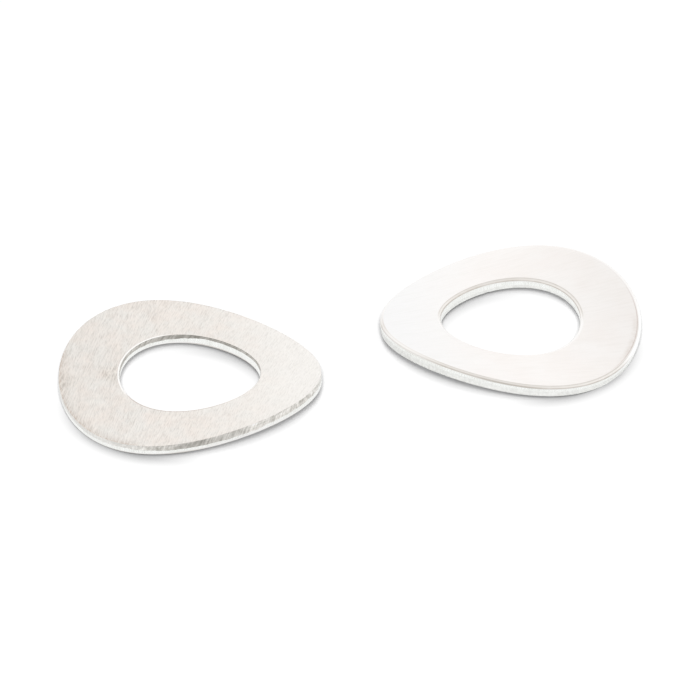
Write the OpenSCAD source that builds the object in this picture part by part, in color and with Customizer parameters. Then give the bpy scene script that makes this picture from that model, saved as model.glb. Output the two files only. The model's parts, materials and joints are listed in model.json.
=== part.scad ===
// Pair of wave spring washers that lie side by side on a flat surface.
// Each washer is one stamping: a ring punched from spring steel strip and pressed into a saddle of two
// waves, so that its rim has two high places and two low ones. The right washer lies with the rolled
// side of its stamped edges up. The left one is the same washer turned over, with the torn side up.
// Lengths are millimetres and +Z is up. The origin is on the surface, midway between the washers, and
// +X runs from the left washer's axis to the right one's.

/* [Ring] */
// Outside diameter of the ring
outer_d = 12; // [10.4:0.1:15]
// Diameter of the bore, which clears the shank of an M6 screw
bore_d = 6.4; // [4.8:0.1:8.2]
// Thickness of the strip
strip_t = 0.5; // [0.45:0.05:1]

/* [Wave] */
// Height of the wave at the rim, from low place to high place along the middle of the strip
wave_h = 1.2; // [0.4:0.05:2]

/* [Stamped edges] */
// Width of the rolled edge, where the punch drew the face in
roll_w = 0.16; // [0.08:0.01:0.24]
// Depth of the rolled edge
roll_h = 0.12; // [0.06:0.01:0.16]
// Depth of the torn band on the other side, where the strip broke through
tear_h = 0.24; // [0.1:0.01:0.28]
// How far the torn band leans back from the smooth band
tear_w = 0.03; // [0.02:0.01:0.07]

/* [Set] */
// Gap between the two washers' rims
gap = 3.43; // [0.4:0.01:16]
// Direction of the left washer's high places, in degrees from +X
left_turn = 115; // [0:0.1:180]
// Direction of the right washer's high places, in degrees from +X
right_turn = 33.6; // [0:0.1:180]

/* [Smoothness] */
// Facets around the ring
ring_steps = 120; // [96:12:132]
// Facets across each face, from bore to rim
face_steps = 4; // [3:1:5]
// Facets around each rolled edge
roll_steps = 4; // [3:1:5]

/* [Hidden] */

outer_r = outer_d / 2;
bore_r = bore_d / 2;
face_z = strip_t / 2;
spacing = outer_d + gap;
steel = [0.84, 0.83, 0.81];
// The rolled edge stops short of upright at the bore, where the punched wall cuts across it
bore_roll_end = 70;
// Middle of the smooth band, between the rolled edge and the torn band
smooth_z = (tear_h - roll_h) / 2;
// Stock inside the bore wall. At this depth the torn band meets the wall tear_h from its face
stock = tear_w * ((smooth_z + face_z) / tear_h - 1);
punch_clear = 1;

// Evenly spaced values from a to b, both included
function spread(a, b, count) = [for (i = [0:count]) a + (b - a) * i / count];

// Cross-section of the ring before it is pressed, as [radius, height above the middle of the strip]
rim_roll = [for (a = spread(0, 90, roll_steps))
    [outer_r - roll_w * (1 - sin(a)), face_z - roll_h * (1 - cos(a))]];
bore_roll = [for (a = spread(bore_roll_end, 0, roll_steps))
    [bore_r + roll_w * (1 - sin(a)), face_z - roll_h * (1 - cos(a))]];
upper_face = [for (r = spread(bore_r + roll_w, outer_r - roll_w, face_steps)) [r, face_z]];
lower_face = [for (r = spread(outer_r - tear_w, bore_r + tear_w, face_steps)) [r, -face_z]];
rim_smooth_end = [[outer_r, tear_h - face_z]];
bore_stock = [[bore_r - stock, smooth_z]];
// Neighbouring stretches share their end points, so each face leaves its first and last to the rolls
section = concat(
    bore_roll,
    [for (i = [1:face_steps - 1]) upper_face[i]],
    rim_roll,
    rim_smooth_end,
    lower_face,
    bore_stock
);

// Height and slope of the middle of the strip: high along X, low along Y, and level at the axis
function wave_z(x, y) = wave_h / 2 * (x * x - y * y) / (outer_r * outer_r);
function wave_slope(x, y) = wave_h / (outer_r * outer_r) * [x, -y];

// How far a stamped wall has turned with the sheet: not at all at the bore, fully square at the rim
function lean(r) = max(0, (r - bore_r) / (outer_r - bore_r));

// A point of the cross-section after pressing. The strip keeps its thickness square to the sheet.
function pressed(p, angle) =
    let (
        x = p[0] * cos(angle),
        y = p[0] * sin(angle),
        slope = wave_slope(x, y),
        steep = slope * slope,
        turned = lean(p[0]),
        upright = sqrt(1 + steep) - turned * steep
    )
    [x - p[1] * turned * slope[0], y - p[1] * turned * slope[1], wave_z(x, y) + p[1] * upright];

ring_points = [for (i = [0:ring_steps - 1]) for (p = section) pressed(p, 360 * i / ring_steps)];
heights = [for (p = ring_points) p[2]];
lowest = min(heights);
highest = max(heights);

// Number of a point in ring_points: place j of the cross-section at step i round the ring
function index(i, j) = (i % ring_steps) * len(section) + j % len(section);

ring_faces = [for (i = [0:ring_steps - 1]) for (j = [0:len(section) - 1]) each [
    [index(i, j), index(i + 1, j), index(i + 1, j + 1)],
    [index(i, j), index(i + 1, j + 1), index(i, j + 1)]
]];

// The stamped ring, with the rolled side up and its high places along X
module washer() {
    difference() {
        polyhedron(points = ring_points, faces = ring_faces, convexity = 6);
        translate([0, 0, lowest - punch_clear])
            cylinder(h = highest - lowest + 2 * punch_clear, r = bore_r, $fn = 240);
    }
}

// The left washer lies torn side up. Turning it over swaps its high places with its low ones.
module left_washer() {
    color(steel)
        translate([-spacing / 2, 0, highest])
            rotate([0, 0, left_turn - 90])
                rotate([180, 0, 0])
                    washer();
}

// The right washer lies rolled side up
module right_washer() {
    color(steel)
        translate([spacing / 2, 0, -lowest])
            rotate([0, 0, right_turn])
                washer();
}

left_washer();
right_washer();
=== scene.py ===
import json
import math

import bpy
import numpy as np
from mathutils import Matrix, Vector, noise


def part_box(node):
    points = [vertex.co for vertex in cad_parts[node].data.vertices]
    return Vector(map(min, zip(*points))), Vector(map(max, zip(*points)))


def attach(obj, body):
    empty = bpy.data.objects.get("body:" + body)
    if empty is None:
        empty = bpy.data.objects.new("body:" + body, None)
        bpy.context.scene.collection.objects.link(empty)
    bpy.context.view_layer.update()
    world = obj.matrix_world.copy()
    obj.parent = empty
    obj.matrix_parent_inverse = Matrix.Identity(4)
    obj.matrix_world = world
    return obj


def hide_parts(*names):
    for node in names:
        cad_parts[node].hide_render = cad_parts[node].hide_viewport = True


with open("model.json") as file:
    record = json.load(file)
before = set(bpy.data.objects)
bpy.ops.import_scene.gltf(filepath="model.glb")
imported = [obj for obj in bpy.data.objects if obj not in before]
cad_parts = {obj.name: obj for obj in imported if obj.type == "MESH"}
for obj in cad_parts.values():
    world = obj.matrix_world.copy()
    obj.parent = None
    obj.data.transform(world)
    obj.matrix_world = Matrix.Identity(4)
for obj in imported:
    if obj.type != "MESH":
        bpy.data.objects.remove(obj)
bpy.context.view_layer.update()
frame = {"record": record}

# Left washer
# A ring punched from cold rolled spring steel strip and pressed into a saddle of two waves. It lies
# turned over, with the brushed face and the torn side of its stamped edges up.

# One millimetre in metres
MM = 0.001

# Lengths of the stamping in mm
OUTER_R = 6.0
BORE_R = frame["record"]["mounts"][0]["dims"]["r_mm"]
STRIP_T = 0.5
WAVE_H = 1.2
ROLL_W = 0.16
ROLL_H = 0.12
RIM_TEAR_H = 0.27
BORE_TEAR_H = 0.19
TEAR_LEAN = 0.03
BURR_H = 0.008
BURR_W = 0.04

# Bands of the cross-section, from the top of the bore wall round to it again, with the rows in each
BANDS = [
    ("bore_roll", 9),
    ("rolled_face", 10),
    ("rim_roll", 9),
    ("rim_smooth", 5),
    ("rim_torn", 12),
    ("torn_face", 18),
    ("bore_torn", 12),
    ("bore_smooth", 6),
]
RING_STEPS = 1200
# Where the rows of the torn face lie across it: close together beside each burr
TORN_FACE_ROWS = np.array(
    [0, 0.006, 0.012, 0.02, 0.05, 0.1, 0.2, 0.3, 0.4, 0.5, 0.6, 0.7, 0.8, 0.9, 0.95, 0.98, 0.988, 0.994]
)

# Waves in the height of the torn bands, as (share of the height, length in mm)
RAGGED_WAVES = [(0.12, 0.5), (0.07, 0.15)]
# Lengths in mm of the fracture's streaks and lumps, and of the patches that have nicks
STREAK_LENGTH = 0.11
LUMP_LENGTH = 0.4
PATCH_LENGTH = 2.0
# Depths of the lumps and of the nicks, as shares of the torn band's lean
LUMP_DEPTH = 0.35
NICK_DEPTH = 0.8
# How much the streaks and the lumps add to the roughness, and to the nicks, which start above a floor
ROUGH_STREAKS = 0.3
ROUGH_LUMPS = 0.8
NICK_STREAKS = 2.0
NICK_LUMPS = 1.2
NICK_FLOOR = 0.6
# The patches vary about this middle, by this much
PATCH_MIDDLE = 0.3
PATCH_CONTRAST = 1.6
# What each edge, and each kind of relief on it, adds to the washer's own seed
RIM_SEED = 20
BORE_SEED = 40
LUMP_SEED = 5
PATCH_SEED = 9
# Columns of a washer's tables of torn bands, after the degrees
HEIGHT_SHARE = 1
DARKNESS = 2


def ring_noise(angles, radius, length, seed):
    """Smooth noise from -1 to 1 round a circle of that radius, with lumps of about that length in mm."""
    return np.array([
        noise.noise(Vector((radius * math.cos(a) / length, radius * math.sin(a) / length, seed)))
        for a in angles
    ])


def torn_relief(angles, radius, rows, seed):
    """Depth, mostly from 0 to 1, of the fracture's lumps and nicks, which widen towards the burr."""
    streaks = ring_noise(angles, radius, STREAK_LENGTH, seed)
    lumps = ring_noise(angles, radius, LUMP_LENGTH, seed + LUMP_SEED)
    patches = PATCH_MIDDLE + PATCH_CONTRAST * ring_noise(angles, radius, PATCH_LENGTH, seed + PATCH_SEED)
    nicks = np.clip(NICK_STREAKS * streaks + NICK_LUMPS * lumps - NICK_FLOOR, 0, 1) * np.clip(patches, 0, 1)
    rough = 0.5 + 0.5 * (ROUGH_STREAKS * streaks + ROUGH_LUMPS * lumps)
    reach = np.linspace(0, 1, rows)
    lump_relief = LUMP_DEPTH * rough[:, None] * np.sin(math.pi * reach) ** 0.5
    return lump_relief + NICK_DEPTH * nicks[:, None] * reach ** 1.5


def round_ring(angles, table, column):
    """A column of a table of (degrees, value, ...) rows, carried smoothly round the ring."""
    rows = np.array(table)
    return np.interp(np.degrees(angles), rows[:, 0], rows[:, column], period=360)[:, None]


def band_rows(name, count):
    """Where the rows of a band start across it, from 0 to 1."""
    return TORN_FACE_ROWS if name == "torn_face" else np.arange(count) / count


def places_across():
    """Where the quads between one row and the next start and end across their band, from 0 to 1.

    The bore's rolled edge is counted the other way, so that 0 is the face side of both rolled edges.
    """
    starts, ends = [], []
    for name, count in BANDS:
        rows = band_rows(name, count)
        next_rows = np.append(rows[1:], 1.0)
        starts.append(1 - rows if name == "bore_roll" else rows)
        ends.append(1 - next_rows if name == "bore_roll" else next_rows)
    return np.concatenate(starts), np.concatenate(ends)


def flat_section(angles, seed, tears):
    """Radius and height in mm of every point of the ring before it is pressed."""
    face_z = STRIP_T / 2
    around = np.ones((len(angles), 1))
    ragged = sum(
        share * ring_noise(angles, OUTER_R, length, seed + number)
        for number, (share, length) in enumerate(RAGGED_WAVES)
    )
    rim_tear = RIM_TEAR_H * round_ring(angles, tears["rim"], HEIGHT_SHARE) * (1 + ragged)[:, None]
    bore_tear = BORE_TEAR_H * round_ring(angles, tears["bore"], HEIGHT_SHARE) * (1 + ragged)[:, None]
    radii, heights = {}, {}
    rows = {name: band_rows(name, count) for name, count in BANDS}
    turn = rows["rim_roll"] * math.pi / 2
    radii["rim_roll"] = around * (OUTER_R - ROLL_W * (1 - np.sin(turn)))
    heights["rim_roll"] = around * (face_z - ROLL_H * (1 - np.cos(turn)))
    turn = (1 - rows["bore_roll"]) * math.pi / 2
    radii["bore_roll"] = around * (BORE_R + ROLL_W * (1 - np.sin(turn)))
    heights["bore_roll"] = around * (face_z - ROLL_H * (1 - np.cos(turn)))
    span = rows["rolled_face"]
    radii["rolled_face"] = around * (BORE_R + ROLL_W + (OUTER_R - BORE_R - 2 * ROLL_W) * span)
    heights["rolled_face"] = around * np.full(len(span), face_z)
    span = rows["rim_smooth"]
    radii["rim_smooth"] = around * np.full(len(span), OUTER_R)
    heights["rim_smooth"] = (face_z - ROLL_H) + (rim_tear - face_z - (face_z - ROLL_H)) * span
    span = rows["rim_torn"]
    relief = TEAR_LEAN * torn_relief(angles, OUTER_R, len(span), seed + RIM_SEED)
    radii["rim_torn"] = OUTER_R - TEAR_LEAN * span - relief
    heights["rim_torn"] = (rim_tear - face_z) - rim_tear * span
    rim_edge = radii["rim_torn"][:, -1:]
    span = 1 - rows["bore_torn"]
    relief = TEAR_LEAN * torn_relief(angles, BORE_R, len(span), seed + BORE_SEED)[:, ::-1]
    radii["bore_torn"] = BORE_R + TEAR_LEAN * span + relief
    heights["bore_torn"] = (bore_tear - face_z) - bore_tear * span
    bore_edge = radii["bore_torn"][:, :1]
    span = rows["torn_face"]
    radii["torn_face"] = rim_edge + (bore_edge - rim_edge) * span
    edge_gap = np.minimum(rim_edge - radii["torn_face"], radii["torn_face"] - bore_edge)
    burr = BURR_H * np.clip(1 - edge_gap / BURR_W, 0, 1)
    heights["torn_face"] = -face_z - burr
    span = rows["bore_smooth"]
    radii["bore_smooth"] = around * np.full(len(span), BORE_R)
    heights["bore_smooth"] = (bore_tear - face_z) + (2 * face_z - ROLL_H - bore_tear) * span
    names = [name for name, _ in BANDS]
    return (
        np.concatenate([radii[name] for name in names], axis=1),
        np.concatenate([heights[name] for name in names], axis=1),
    )


def pressed(flat_x, flat_y, height):
    """The points of the flat ring pressed into the saddle, where the strip keeps its thickness."""
    slope_x = WAVE_H * flat_x / OUTER_R ** 2
    slope_y = -WAVE_H * flat_y / OUTER_R ** 2
    stretch = np.sqrt(1 + slope_x ** 2 + slope_y ** 2)
    x = flat_x - height * slope_x / stretch
    y = flat_y - height * slope_y / stretch
    z = WAVE_H / 2 * (flat_x ** 2 - flat_y ** 2) / OUTER_R ** 2 + height / stretch
    return x, y, z


def add_attribute(mesh, name, kind, domain, key, values):
    """Numbers that the steel's materials read from the mesh."""
    layer = mesh.attributes.new(name, kind, domain)
    layer.data.foreach_set(key, values.reshape(-1).astype(np.float32))


def stamped_ring(name, node, turned_over, turn, seed, tears):
    """The washer that lies at a CAD node's place, turned over or not, and turned about its axis."""
    angles = np.arange(RING_STEPS) * 2 * math.pi / RING_STEPS
    radius, height = flat_section(angles, seed, tears)
    flat_x = radius * np.cos(angles)[:, None]
    flat_y = radius * np.sin(angles)[:, None]
    x, y, z = pressed(flat_x, flat_y, height)
    if turned_over:
        y, z = -y, -z
    cos_turn = math.cos(turn)
    sin_turn = math.sin(turn)
    low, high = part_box(node)
    middle = (low + high) / 2
    x, y = cos_turn * x - sin_turn * y + middle.x / MM, sin_turn * x + cos_turn * y + middle.y / MM
    # The burr is pressed flat where the washer rests on it
    flattened = 0 if turned_over else BURR_H
    z = np.maximum(z - z.min() - flattened, 0)
    places = np.stack([x, y, z], axis=-1).reshape(-1, 3) * MM
    rows = radius.shape[1]
    step, row = np.meshgrid(np.arange(RING_STEPS), np.arange(rows), indexing="ij")
    next_step = (step + 1) % RING_STEPS
    next_row = (row + 1) % rows
    quads = np.stack([
        step * rows + row,
        next_step * rows + row,
        next_step * rows + next_row,
        step * rows + next_row,
    ], axis=-1)
    mesh = bpy.data.meshes.new(name)
    mesh.from_pydata(places.tolist(), [], quads.reshape(-1, 4).tolist())

    flat_places = np.stack([flat_x, flat_y, height], axis=-1)
    add_attribute(mesh, "strip_place", "FLOAT_VECTOR", "POINT", "vector", flat_places)
    start, end = places_across()
    corners = np.tile(np.stack([start, start, end, end], axis=-1).reshape(-1), RING_STEPS)
    add_attribute(mesh, "across", "FLOAT", "CORNER", "value", corners)
    dark = {edge: round_ring(angles, tears[edge], DARKNESS) for edge in ("rim", "bore")}
    dark_rows = np.concatenate([
        np.repeat(dark["bore" if band.startswith("bore") else "rim"], count, axis=1)
        for band, count in BANDS
    ], axis=1)
    add_attribute(mesh, "torn_dark", "FLOAT", "POINT", "value", dark_rows)
    finish_names = list(FINISHES)
    finishes = np.concatenate([
        np.full(count, finish_names.index(BAND_FINISH[band])) for band, count in BANDS
    ])
    for material in FINISHES.values():
        mesh.materials.append(material)
    mesh.polygons.foreach_set("material_index", np.tile(finishes, RING_STEPS).astype(np.int32))
    mesh.shade_smooth()
    mesh.update()
    mesh.validate()
    ring = bpy.data.objects.new(name, mesh)
    bpy.context.scene.collection.objects.link(ring)
    return ring


def add_node(tree, kind, inputs=(), **settings):
    """A new node with its settings made, and each named input set or linked."""
    made = tree.nodes.new(kind)
    for setting, value in settings.items():
        setattr(made, setting, value)
    for socket, value in dict(inputs).items():
        if isinstance(value, bpy.types.NodeSocket):
            tree.links.new(value, made.inputs[socket])
        else:
            made.inputs[socket].default_value = value
    return made


def new_group(name, inputs):
    """A shader node group with those inputs, each with its default, and one tone as its output."""
    group = bpy.data.node_groups.new(name, "ShaderNodeTree")
    for label, default in inputs.items():
        kind = "NodeSocketVector" if isinstance(default, tuple) else "NodeSocketFloat"
        socket = group.interface.new_socket(label, in_out="INPUT", socket_type=kind)
        socket.default_value = default
    group.interface.new_socket("Tone", in_out="OUTPUT", socket_type="NodeSocketFloat")
    return group, add_node(group, "NodeGroupInput").outputs


def scaled_place(tree, place, turn, length, width, depth):
    """A place in the strip, turned about Z and divided by a grain's length, width and depth."""
    turned = add_node(
        tree, "ShaderNodeVectorRotate", {"Vector": place, "Angle": turn}, rotation_type="Z_AXIS",
    )
    grain = add_node(tree, "ShaderNodeCombineXYZ", {"X": length, "Y": width, "Z": depth})
    sockets = {0: turned.outputs["Vector"], 1: grain.outputs["Vector"]}
    return add_node(tree, "ShaderNodeVectorMath", sockets, operation="DIVIDE").outputs["Vector"]


def give_noise(group, place, detail, roughness, low, high):
    """Make the group's tone noise at a place, spread so that low to high becomes 0 to 1."""
    sockets = {"Vector": place, "Scale": 1.0, "Detail": detail, "Roughness": roughness}
    made = add_node(group, "ShaderNodeTexNoise", sockets)
    sockets = {"Value": made.outputs["Fac"], "From Min": low, "From Max": high}
    spread = add_node(group, "ShaderNodeMapRange", sockets)
    add_node(group, "NodeGroupOutput", {"Tone": spread.outputs["Result"]})


# Scratches that run one way across the strip, dark and bright about a tone of 0.5
scratches, source = new_group(
    "scratches", {"Place": (0.0, 0.0, 0.0), "Turn": 0.0, "Length": 1.0, "Width": 0.08},
)
place = scaled_place(
    scratches, source["Place"], source["Turn"], source["Length"], source["Width"], depth=1.0,
)
give_noise(scratches, place, detail=2.0, roughness=0.6, low=0.28, high=0.72)

# Faint clouds of colour in the steel, from rolling oil and handling
clouds, source = new_group("clouds", {"Place": (0.0, 0.0, 0.0), "Size": 2.0})
place = scaled_place(clouds, source["Place"], 0.0, source["Size"], source["Size"], source["Size"])
give_noise(clouds, place, detail=3.0, roughness=0.55, low=0.3, high=0.7)


def steel(name, roughness):
    """A metal material and its tree, its shader and the place in the strip."""
    material = bpy.data.materials.new(name)
    material.use_nodes = True
    tree = material.node_tree
    shader = tree.nodes["Principled BSDF"]
    shader.inputs["Metallic"].default_value = 1.0
    shader.inputs["Roughness"].default_value = roughness
    strip = add_node(tree, "ShaderNodeAttribute", attribute_name="strip_place")
    return material, tree, shader, strip.outputs["Vector"]


def place_across(tree):
    """How far across its band a place lies, from 0 to 1."""
    return add_node(tree, "ShaderNodeAttribute", attribute_name="across").outputs["Fac"]


def grey(level):
    """A colour without hue."""
    return (level, level, level)


def ramp(tree, value, *stops):
    """The colour that stops of (position, colour) give to a value."""
    made = add_node(tree, "ShaderNodeValToRGB", {"Fac": value})
    elements = made.color_ramp.elements
    elements.remove(elements[1])
    elements[0].position = stops[0][0]
    elements[0].color = (*stops[0][1], 1.0)
    for position, colour in stops[1:]:
        elements.new(position).color = (*colour, 1.0)
    return made.outputs["Color"]


def tint(tree, factor, first, second, blend="MIX"):
    """Two colours, each a socket or (red, green, blue), mixed by a factor."""
    first, second = [(*c, 1.0) if isinstance(c, tuple) else c for c in (first, second)]
    made = add_node(
        tree, "ShaderNodeMix", {0: factor, 6: first, 7: second}, data_type="RGBA", blend_type=blend,
    )
    return made.outputs[2]


def bump(tree, shader, height, depth):
    """Relief of that many millimetres at full height."""
    sockets = {"Height": height, "Strength": 1.0, "Distance": depth * MM}
    made = add_node(tree, "ShaderNodeBump", sockets)
    tree.links.new(made.outputs["Normal"], shader.inputs["Normal"])


def group_tone(tree, group, **inputs):
    """The tone that a shared group gives."""
    return add_node(tree, "ShaderNodeGroup", inputs, node_tree=group).outputs["Tone"]


def maths(tree, operation, first, second, third=0.0):
    """The result of one sum on values or sockets."""
    made = add_node(tree, "ShaderNodeMath", {0: first, 1: second, 2: third}, operation=operation)
    return made.outputs[0]


def fade(tree, value, start, end, low=0.0, high=1.0):
    """A value that goes smoothly from low to high while another goes from start to end."""
    sockets = {"Value": value, "From Min": start, "From Max": end, "To Min": low, "To Max": high}
    made = add_node(tree, "ShaderNodeMapRange", sockets, interpolation_type="SMOOTHSTEP")
    return made.outputs["Result"]


def side(tree, strip, degrees, start, end, low=0.0, high=1.0):
    """A fade between two distances in mm from the bore's axis, measured in one direction."""
    angle = math.radians(degrees)
    sockets = {0: strip, 1: (math.cos(angle), math.sin(angle), 0.0)}
    gone = add_node(tree, "ShaderNodeVectorMath", sockets, operation="DOT_PRODUCT").outputs["Value"]
    return fade(tree, gone, start, end, low, high)


# Share of a mark's reach within which it is whole
MARK_CORE = 0.3


def near(tree, strip, degrees, radius, reach):
    """1 at a place in the strip, and less with distance, down to 0 at a reach in millimetres."""
    angle = math.radians(degrees)
    place = (radius * math.cos(angle), radius * math.sin(angle), 0.0)
    gap = add_node(tree, "ShaderNodeVectorMath", {0: strip, 1: place}, operation="DISTANCE").outputs["Value"]
    return fade(tree, gap, reach, MARK_CORE * reach)


# The brushed face, on the torn side: short straight scratches, hardest on one side of the ring, over
# clouds of pinkish and of greyer steel. Handling has marked the edges.

# Names that end in SIDE, MARK and FADE hold what side, near and fade are given after the socket, here
# and in the other materials. Places across this face go from 0 at the rim to 1 at the bore.
BRUSH_TURN = math.radians(33.4)
# Sets of scratches, as (share of the tone, turn from the brushing in radians, length and width in mm)
STROKES = [(0.15, -0.08, 1.6, 0.2), (0.3, 0.3, 0.2, 0.06), (0.55, 0.0, 0.45, 0.05)]
MIDDLE_TONE = 0.5
HARD_SIDE = (-137, -5.0, 2.0, 0.5, 0.85)
# Painted light: the face is painted lighter towards one side, where more light falls on it
PAINTED_LIGHT_SIDE = (-137, 0.0, -6.0)
BORE_HANDLED_MARK = (-137, 3.5, 0.9)
RIM_HANDLED_MARK = (-143, 5.9, 0.9)
RIM_HANDLED_SHARE = 0.6
PAINTED_LIGHT_COLOUR = (0.893, 0.870, 0.838)
HANDLED_STEEL = (0.90, 0.88, 0.86)
# The face is darker and browner beside the rim on one side, less so along the bright scratches
DULL_SIDE = (197, 3.9, 5.0)
DULL_FADE = (0.18, 0.0, 0.0, 0.4)
DULL_SCRATCH_FADE = (0.75, 0.3, 0.3, 1.5)
DULL_STEEL = (0.60, 0.545, 0.495)
# A brown line runs along the rim there, ragged and broken by the scratches
RIM_LINE_RAGGED = 0.05
RIM_LINE_FADE = (0.006, -0.012, 0.0, 0.8)
RIM_LINE_SCRATCH_FADE = (0.62, 0.38, 0.2, 1.0)
RIM_LINE_BROWN = (0.60, 0.52, 0.46)
# The bore's burr is brown on one side, and has a painted highlight on another
BORE_LINE_SIDE = (150, 1.6, 2.8, 0.0, 0.55)
BORE_LINE_FADE = (0.976, 0.99)
BORE_LINE_BROWN = (0.52, 0.43, 0.37)
BORE_HIGHLIGHT_SIDE = (-117, 1.8, 2.5)
BORE_HIGHLIGHT_FADE = (0.965, 0.98)
BORE_HIGHLIGHT_COLOUR = (1.0, 0.99, 0.97)

brushed_face, tree, shader, strip = steel("brushed_face", roughness=0.42)
across = place_across(tree)
strokes = 0.0
for share, turn, length, width in STROKES:
    stroke = group_tone(tree, scratches, Place=strip, Turn=BRUSH_TURN + turn, Length=length, Width=width)
    strokes = maths(tree, "MULTIPLY_ADD", stroke, share, strokes)
bore_handled = near(tree, strip, *BORE_HANDLED_MARK)
rim_handled = maths(tree, "MULTIPLY", near(tree, strip, *RIM_HANDLED_MARK), RIM_HANDLED_SHARE)
handled = maths(tree, "MAXIMUM", bore_handled, rim_handled)
strength = maths(tree, "ADD", handled, side(tree, strip, *HARD_SIDE))
contrast = maths(tree, "SUBTRACT", strokes, MIDDLE_TONE)
tone = maths(tree, "MULTIPLY_ADD", contrast, strength, MIDDLE_TONE)
lines = ramp(tree, tone, (0.0, (0.70, 0.69, 0.67)), (0.5, grey(1.0)), (0.75, grey(1.07)), (1.0, grey(1.22)))
cloud = group_tone(tree, clouds, Place=strip, Size=0.9)
blush = ramp(tree, cloud, (0.1, (0.835, 0.782, 0.735)), (0.9, (0.826, 0.803, 0.768)))
# Painted light on one side of the face
lit = tint(tree, side(tree, strip, *PAINTED_LIGHT_SIDE), blush, PAINTED_LIGHT_COLOUR)
base = tint(tree, 1.0, lit, lines, "MULTIPLY")
base = tint(tree, handled, base, HANDLED_STEEL, "MULTIPLY")
dull_side = side(tree, strip, *DULL_SIDE)
dull = maths(tree, "MULTIPLY", fade(tree, across, *DULL_FADE), dull_side)
dull = maths(tree, "MULTIPLY", dull, fade(tree, tone, *DULL_SCRATCH_FADE))
base = tint(tree, dull, base, DULL_STEEL)
blotches = group_tone(tree, clouds, Place=strip, Size=0.35)
ragged = maths(tree, "SUBTRACT", across, maths(tree, "MULTIPLY", blotches, RIM_LINE_RAGGED))
rim_line = maths(tree, "MULTIPLY", fade(tree, ragged, *RIM_LINE_FADE), dull_side)
rim_line = maths(tree, "MULTIPLY", rim_line, fade(tree, tone, *RIM_LINE_SCRATCH_FADE))
base = tint(tree, rim_line, base, RIM_LINE_BROWN)
bore_line = maths(
    tree, "MULTIPLY", fade(tree, across, *BORE_LINE_FADE), side(tree, strip, *BORE_LINE_SIDE),
)
base = tint(tree, bore_line, base, BORE_LINE_BROWN)
# Painted highlight along the bore's burr on one side
bore_highlight = maths(
    tree, "MULTIPLY", fade(tree, across, *BORE_HIGHLIGHT_FADE), side(tree, strip, *BORE_HIGHLIGHT_SIDE),
)
base = tint(tree, bore_highlight, base, BORE_HIGHLIGHT_COLOUR)
tree.links.new(base, shader.inputs["Base Color"])
bump(tree, shader, tone, depth=0.004)

# The rolled face: the smooth mill finish of the strip, painted whiter and cooler towards one side. Places
# across it go from 0 at the bore to 1 at the rim, beside which lie a mottled painted shade and a brown line
# on one side.
# Painted light: the face is painted whiter and cooler towards one side, where it mirrors brighter light
PAINTED_COOL_LIGHT_SIDE = (128, 0.0, 6.0)
PAINTED_COOL_LIGHT_COLOUR = (0.912, 0.908, 0.908)
PAINTED_SHADE_MARK = (-66, 5.8, 2.2)
PAINTED_SHADE_FADE = (0.86, 1.0)
PAINTED_SHADE_COLOUR = (0.74, 0.685, 0.64)
EDGE_LINE_MARK = (-60, 5.8, 3.8)
EDGE_LINE_FADE = (0.972, 0.986, 0.0, 0.6)
EDGE_LINE_BROWN = (0.62, 0.54, 0.50)

rolled_face, tree, shader, strip = steel("rolled_face", roughness=0.32)
across = place_across(tree)
faint = group_tone(tree, scratches, Place=strip, Turn=BRUSH_TURN, Length=1.1, Width=0.09)
cloud = group_tone(tree, clouds, Place=strip, Size=2.2)
base = ramp(tree, cloud, (0.2, (0.91, 0.875, 0.852)), (0.8, (0.922, 0.898, 0.88)))
# Painted light towards one side of the face
base = tint(tree, side(tree, strip, *PAINTED_COOL_LIGHT_SIDE), base, PAINTED_COOL_LIGHT_COLOUR)
lines = ramp(tree, faint, (0.1, (0.975, 0.975, 0.97)), (0.6, grey(1.0)))
base = tint(tree, 1.0, base, lines, "MULTIPLY")
# Painted shade, mottled, darkens the face beside the rim on one side
blotches = group_tone(tree, clouds, Place=strip, Size=0.3)
painted_shade = maths(tree, "MULTIPLY", near(tree, strip, *PAINTED_SHADE_MARK), fade(tree, across, *PAINTED_SHADE_FADE))
base = tint(tree, maths(tree, "MULTIPLY", painted_shade, blotches), base, PAINTED_SHADE_COLOUR)
edge_line = maths(
    tree, "MULTIPLY", near(tree, strip, *EDGE_LINE_MARK), fade(tree, across, *EDGE_LINE_FADE),
)
base = tint(tree, edge_line, base, EDGE_LINE_BROWN)
tree.links.new(base, shader.inputs["Base Color"])
bump(tree, shader, faint, depth=0.0008)

# The rolled edge: the face drawn down by the punch, with a dull brown line at each side of it. Places
# across it go from 0 at the face to 1 at the smooth band.
ROLL_COLOURS = [
    (0.0, (0.88, 0.85, 0.82)), (0.16, (0.63, 0.59, 0.545)), (0.32, (0.80, 0.77, 0.73)),
    (0.5, (0.86, 0.83, 0.79)), (0.66, (0.66, 0.61, 0.56)), (0.8, (0.50, 0.46, 0.41)),
    (0.96, (0.88, 0.87, 0.85)),
]
DIRT_MARK = (-143, 5.9, 2.2)
DIRT_FADE = (0.4, 0.75)
DIRT_STREAKS = 0.7
DIRT_LEAST = 0.15
DIRT_BROWN = (0.36, 0.32, 0.27)
# Between these distances from the axis in mm, the bore's edge gives way to the rim's
RIM_FADE = (4.4, 4.8)
# Each edge is clean on one side, and the rim is partly lightened in two more places by a painted highlight
RIM_CLEAN_SIDE = (-142, 1.5, -1.0)
BORE_CLEAN_SIDE = (-142, -1.0, 0.5)
END_HIGHLIGHT_MARKS = [(-62, 5.9, 2.6), (160, 5.9, 3.2)]
END_HIGHLIGHT_SHARE = 0.6
STREAK_SHARE = 0.3
CLEAN_AND_HIGHLIGHT_STEEL = (0.93, 0.915, 0.90)
# A painted highlight lies round one place of the rim
PAINTED_HIGHLIGHT_MARK = (-62, 5.9, 3.0)
PAINTED_HIGHLIGHT_FADE = (0.0, 0.35)
PAINTED_HIGHLIGHT_COLOUR = (1.0, 1.0, 0.995)

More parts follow.
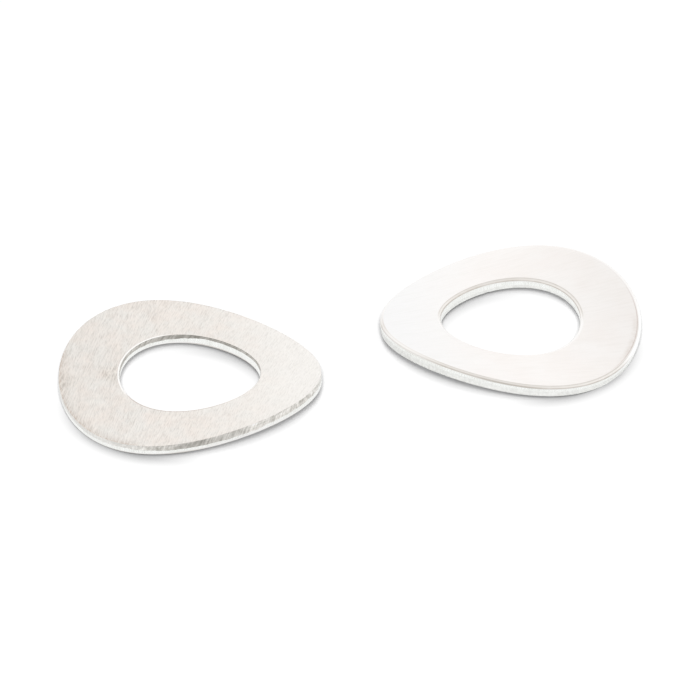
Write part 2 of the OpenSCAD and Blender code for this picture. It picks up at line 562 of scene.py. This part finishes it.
rolled_edge, tree, shader, strip = steel("rolled_edge", roughness=0.3)
across = place_across(tree)
streak = group_tone(tree, clouds, Place=strip, Size=0.35)
base = ramp(tree, across, *ROLL_COLOURS)
dirt = maths(tree, "MULTIPLY_ADD", streak, DIRT_STREAKS, DIRT_LEAST)
dirt = maths(tree, "MULTIPLY", near(tree, strip, *DIRT_MARK), dirt)
dirt = maths(tree, "MULTIPLY", dirt, fade(tree, across, *DIRT_FADE))
base = tint(tree, dirt, base, DIRT_BROWN)
flat_radius = add_node(tree, "ShaderNodeVectorMath", {0: strip}, operation="LENGTH").outputs["Value"]
at_rim = fade(tree, flat_radius, *RIM_FADE)
at_bore = maths(tree, "SUBTRACT", 1.0, at_rim)
rim_clean = maths(tree, "MULTIPLY", at_rim, side(tree, strip, *RIM_CLEAN_SIDE))
bore_clean = maths(tree, "MULTIPLY", at_bore, side(tree, strip, *BORE_CLEAN_SIDE))
clean_and_highlight = maths(tree, "MAXIMUM", rim_clean, bore_clean)
# Painted highlights lighten the rim in two places
for mark in END_HIGHLIGHT_MARKS:
    end_highlight = maths(tree, "MULTIPLY", near(tree, strip, *mark), END_HIGHLIGHT_SHARE)
    clean_and_highlight = maths(tree, "MAXIMUM", clean_and_highlight, end_highlight)
clean_and_highlight = maths(tree, "MAXIMUM", clean_and_highlight, maths(tree, "MULTIPLY", streak, STREAK_SHARE))
base = tint(tree, clean_and_highlight, base, CLEAN_AND_HIGHLIGHT_STEEL)
# Painted highlight round one place of the rim
painted_highlight = maths(
    tree, "MULTIPLY", near(tree, strip, *PAINTED_HIGHLIGHT_MARK), fade(tree, across, *PAINTED_HIGHLIGHT_FADE),
)
base = tint(tree, painted_highlight, base, PAINTED_HIGHLIGHT_COLOUR)
tree.links.new(base, shader.inputs["Base Color"])
bump(tree, shader, streak, depth=0.0015)

# The smooth band, burnished by the punch, with fine upright drag lines. It has the painted highlight there
# too.
BAND_HIGHLIGHT_MARK = (-62, 6.0, 3.0)

smooth_band, tree, shader, strip = steel("smooth_band", roughness=0.24)
drag = group_tone(tree, scratches, Place=strip, Turn=0.0, Length=0.05, Width=0.05)
cloud = group_tone(tree, clouds, Place=strip, Size=0.6)
base = ramp(tree, drag, (0.1, (0.87, 0.875, 0.85)), (0.6, (0.94, 0.95, 0.93)))
soft = ramp(tree, cloud, (0.1, (0.95, 0.95, 0.94)), (0.8, grey(1.02)))
base = tint(tree, 1.0, base, soft, "MULTIPLY")
# Painted highlight at the same place as on the rolled edge
base = tint(tree, near(tree, strip, *BAND_HIGHLIGHT_MARK), base, PAINTED_HIGHLIGHT_COLOUR)
tree.links.new(base, shader.inputs["Base Color"])
bump(tree, shader, drag, depth=0.001)

# The torn band, where the strip broke: mottled grey where it is rough, and pale and speckled elsewhere.
# Its nicks lean this far for each millimetre of height, this way in the strip.
NICK_SLANT = 0.8
NICK_TURN = math.radians(11)
LEVEL_COLOURS = [(0.0, (0.92, 0.925, 0.905)), (0.4, (0.83, 0.81, 0.78)), (1.0, (0.42, 0.405, 0.38))]
ROUGH_FADE = (0.1, 0.42, 0.25, 1.0)
DULL_TEAR_SIDE = (190, 3.5, 5.2, 0.0, 0.35)
DULL_TEAR_FADE = (0.04, 0.1)
DULL_TEAR_STEEL = (0.75, 0.73, 0.70)

torn_band, tree, shader, strip = steel("torn_band", roughness=0.5)
dark = add_node(tree, "ShaderNodeAttribute", attribute_name="torn_dark").outputs["Fac"]
mottle = group_tone(tree, clouds, Place=strip, Size=0.28)
rise = add_node(tree, "ShaderNodeSeparateXYZ", {"Vector": strip}).outputs["Z"]
slant = (NICK_SLANT * math.cos(NICK_TURN), NICK_SLANT * math.sin(NICK_TURN), 0.0)
lean = add_node(tree, "ShaderNodeVectorMath", {0: slant, "Scale": rise}, operation="SCALE").outputs["Vector"]
leaning = add_node(tree, "ShaderNodeVectorMath", {0: strip, 1: lean}, operation="ADD").outputs["Vector"]
nicks = group_tone(tree, scratches, Place=leaning, Turn=0.0, Length=0.13, Width=0.13)
layer_place = scaled_place(tree, strip, 0.0, length=4.0, width=4.0, depth=0.35)
layers = group_tone(tree, clouds, Place=layer_place, Size=0.25)
level = ramp(tree, dark, *LEVEL_COLOURS)
spots = ramp(tree, mottle, (0.1, (0.86, 0.855, 0.84)), (0.8, grey(1.08)))
streaks = ramp(tree, nicks, (0.1, (0.74, 0.735, 0.72)), (0.5, (0.97, 0.97, 0.965)), (0.8, grey(1.15)))
bedding = ramp(tree, layers, (0.1, (0.84, 0.84, 0.83)), (0.8, grey(1.06)))
pattern = tint(tree, 1.0, spots, tint(tree, 1.0, streaks, bedding, "MULTIPLY"), "MULTIPLY")
pattern = tint(tree, fade(tree, dark, *ROUGH_FADE), grey(1.0), pattern)
dull = maths(tree, "MULTIPLY", side(tree, strip, *DULL_TEAR_SIDE), fade(tree, dark, *DULL_TEAR_FADE))
level = tint(tree, dull, level, DULL_TEAR_STEEL)
tree.links.new(tint(tree, 1.0, level, pattern, "MULTIPLY"), shader.inputs["Base Color"])
bump(tree, shader, mottle, depth=0.006)

FINISHES = {
    "rolled_face": rolled_face,
    "rolled_edge": rolled_edge,
    "smooth_band": smooth_band,
    "torn_band": torn_band,
    "brushed_face": brushed_face,
}
BAND_FINISH = {
    "bore_roll": "rolled_edge",
    "rolled_face": "rolled_face",
    "rim_roll": "rolled_edge",
    "rim_smooth": "smooth_band",
    "rim_torn": "torn_band",
    "torn_face": "brushed_face",
    "bore_torn": "torn_band",
    "bore_smooth": "smooth_band",
}

# Torn bands round the left washer, as (degrees in the strip, share of the usual height, darkness)
LEFT_TEARS = {
    "rim": [
        (-169, 0.7, 0.15), (-100, 0.7, 0.1), (40, 0.7, 0.15), (65, 0.8, 0.35), (77, 0.9, 0.41),
        (90, 1.0, 0.41), (101, 1.1, 0.41), (111, 1.1, 0.43), (120, 1.05, 0.58), (127, 1.05, 0.7),
        (134, 1.0, 0.8), (140, 0.95, 0.67), (144, 0.9, 0.5), (149, 0.85, 0.6), (154, 0.8, 0.3),
        (166, 0.75, 0.2), (177, 0.7, 0.15),
    ],
    "bore": [
        (-137, 0.9, 0.65), (-105, 1.0, 0.7), (-80, 1.15, 0.8), (-58, 1.1, 0.95), (-46, 0.85, 1.0),
        (-38, 0.6, 0.95), (-12, 0.7, 0.9), (20, 0.6, 0.75), (60, 0.6, 0.5), (150, 0.8, 0.5),
    ],
}
# Its high places lie 115 degrees from +X. They were the low ones before it was turned over.
LEFT_TURN = math.radians(115 - 90)
LEFT_SEED = 1.7
left_ring = stamped_ring("left_ring", "left_washer", True, LEFT_TURN, LEFT_SEED, LEFT_TEARS)
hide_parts("left_washer")
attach(left_ring, "root")

# Right washer
# The same stamping from the same strip, loose beside the first one. It lies with the smooth mill
# finish and the rolled side of its stamped edges up.

# Its torn bands are pale all round
RIGHT_TEARS = {
    "rim": [(0, 0.9, 0.0), (180, 1.0, 0.02)],
    "bore": [(0, 0.9, 0.0), (180, 1.0, 0.02)],
}
RIGHT_TURN = math.radians(33.6)
RIGHT_SEED = 61.3
right_ring = stamped_ring("right_ring", "right_washer", False, RIGHT_TURN, RIGHT_SEED, RIGHT_TEARS)
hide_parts("right_washer")
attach(right_ring, "root")

# Surface
# A plain white sheet that both washers rest on. It keeps their soft shadows, and metal that faces it
# shows it as plain white.

FLOOR_HALF = 2.0
floor_corners = [(-1, -1), (1, -1), (1, 1), (-1, 1)]
floor_mesh = bpy.data.meshes.new("floor")
floor_mesh.from_pydata([(FLOOR_HALF * x, FLOOR_HALF * y, 0) for x, y in floor_corners], [], [(0, 1, 2, 3)])
floor = bpy.data.objects.new("floor", floor_mesh)
bpy.context.scene.collection.objects.link(floor)

# The viewer's side of the sheet, as a turn from -Y. The lamps stand there too.
FRONT_TURN = math.radians(-18.10)
# The sheet is shaded where it is closed in towards the back at this height, within this reach in mm
BACK_HEIGHT = math.radians(45)
CONTACT_REACH = 0.8
# (how open a place on the sheet is, how pale that leaves it)
CONTACT_LEVELS = [
    (0.24, 0.39), (0.30, 0.455), (0.36, 0.53), (0.44, 0.635), (0.51, 0.72), (0.58, 0.79),
    (0.65, 0.85), (0.72, 0.90), (0.80, 0.945), (0.88, 0.98), (0.96, 1.0),
]
# Share of the sheet's light that it gives off as its own glow, darkened by the contact shade, standing in
# for light from all round that reaches under the washers
SPILL = 0.30


def way_out(turn, height):
    """The direction that leads away from the washers at a turn from -Y and a height."""
    return Vector((math.sin(turn) * math.cos(height), -math.cos(turn) * math.cos(height), math.sin(height)))


def kinds_of_ray(tree):
    """Sockets that are 1 for a ray from the camera, one not yet scattered, and one that metal mirrors."""
    path = add_node(tree, "ShaderNodeLightPath")
    direct = maths(tree, "LESS_THAN", path.outputs["Diffuse Depth"], 0.5)
    mirrored = maths(tree, "MULTIPLY", path.outputs["Is Glossy Ray"], direct)
    return {"camera": path.outputs["Is Camera Ray"], "direct": direct, "mirrored": mirrored}


white_sheet = bpy.data.materials.new("white_sheet")
white_sheet.use_nodes = True
tree = white_sheet.node_tree
tree.nodes.remove(tree.nodes["Principled BSDF"])
rays = kinds_of_ray(tree)
to_back = way_out(FRONT_TURN + math.pi, BACK_HEIGHT)
back_way = add_node(tree, "ShaderNodeCombineXYZ", {"X": to_back.x, "Y": to_back.y, "Z": to_back.z})
sockets = {"Distance": CONTACT_REACH * MM, "Normal": back_way.outputs[0]}
open_sky = add_node(tree, "ShaderNodeAmbientOcclusion", sockets, samples=12)
contact = ramp(tree, open_sky.outputs["AO"], *[(share, grey(level)) for share, level in CONTACT_LEVELS])
contact = maths(tree, "MULTIPLY", contact, rays["direct"])
lit_paper = add_node(tree, "ShaderNodeBsdfDiffuse", {"Color": contact})
spill = add_node(tree, "ShaderNodeEmission", {"Color": contact, "Strength": SPILL})
paper = add_node(tree, "ShaderNodeAddShader", {0: lit_paper.outputs[0], 1: spill.outputs[0]})
glow = add_node(tree, "ShaderNodeEmission", {"Color": (1.0, 1.0, 1.0, 1.0), "Strength": 1.0})
sheet = add_node(tree, "ShaderNodeMixShader", {0: rays["mirrored"], 1: paper.outputs[0], 2: glow.outputs[0]})
tree.links.new(sheet.outputs[0], tree.nodes["Material Output"].inputs["Surface"])
floor_mesh.materials.append(white_sheet)

# Light
# A white tent all round, a little brighter half-way up than overhead. Soft lamps above the viewer
# light the sheet from the front, most from low down, so that its shadows lie behind the raised edges.

# (sine of the height, colour of the tent)
TENT_COLOURS = [
    (0.0, grey(1.0)), (0.28, grey(1.06)), (0.53, grey(1.12)), (0.77, (0.98, 0.975, 0.97)),
    (1.0, (0.90, 0.895, 0.89)),
]
# (height in degrees, span in degrees, share of the sheet's light)
LAMPS = [(37, 7, 0.43), (45.5, 9, 0.18), (55, 10, 0.06)]
# Distance and width in metres
LAMP_DISTANCE = 2.0
LAMP_WIDTH = 0.4
# Watts of a single lamp overhead that would light the sheet to white
FULL_WATTS = 45.5

world = bpy.data.worlds.new("white_tent")
bpy.context.scene.world = world
world.use_nodes = True
tree = world.node_tree
rays = kinds_of_ray(tree)
direction = add_node(tree, "ShaderNodeTexCoord")
height = add_node(tree, "ShaderNodeSeparateXYZ", {"Vector": direction.outputs["Generated"]})
tent = ramp(tree, height.outputs["Z"], *TENT_COLOURS)
seen = tint(tree, rays["camera"], grey(0.0), grey(1.0))
tree.links.new(tint(tree, rays["mirrored"], seen, tent), tree.nodes["Background"].inputs["Color"])

# The lamps light the sheet alone, because the metal only mirrors the tent
lit_things = bpy.data.collections.new("lit_things")
lit_things.objects.link(floor)
for number, (lamp_height, lamp_span, lamp_share) in enumerate(LAMPS, 1):
    lamp_light = bpy.data.lights.new(f"lamp_{number}", "AREA")
    lamp_light.shape = "RECTANGLE"
    lamp_light.size = LAMP_WIDTH
    lamp_light.size_y = 2 * LAMP_DISTANCE * math.tan(math.radians(lamp_span / 2))
    lamp_rise = math.radians(lamp_height)
    lamp_light.energy = FULL_WATTS * lamp_share / math.sin(lamp_rise)
    lamp = bpy.data.objects.new(f"lamp_{number}", lamp_light)
    bpy.context.scene.collection.objects.link(lamp)
    lamp_way = way_out(FRONT_TURN, lamp_rise)
    lamp.location = LAMP_DISTANCE * lamp_way
    lamp.rotation_euler = lamp_way.to_track_quat("Z", "Y").to_euler()
    lamp.visible_glossy = False
    lamp.light_linking.receiver_collection = lit_things

# Camera
# A long lens, 32 degrees above the surface, that looks at the middle of the pair.

VIEW_HEIGHT = math.radians(32.09)
AIM = Vector((-0.061, -0.023, 0.816)) * MM
# In metres: how far off the camera stands, and the nearest thing that it shows
VIEW_DISTANCE = 0.42
NEAREST = 0.01
# In mm
LENS = 472.1
SENSOR_WIDTH = 36

camera_data = bpy.data.cameras.new("camera")
camera_data.lens = LENS
camera_data.sensor_width = SENSOR_WIDTH
camera_data.clip_start = NEAREST
camera = bpy.data.objects.new("camera", camera_data)
bpy.context.scene.collection.objects.link(camera)
camera_way = way_out(FRONT_TURN, VIEW_HEIGHT)
camera.location = AIM + VIEW_DISTANCE * camera_way
camera.rotation_euler = camera_way.to_track_quat("Z", "Y").to_euler()
bpy.context.scene.camera = camera
bpy.context.scene.view_settings.view_transform = "Standard"
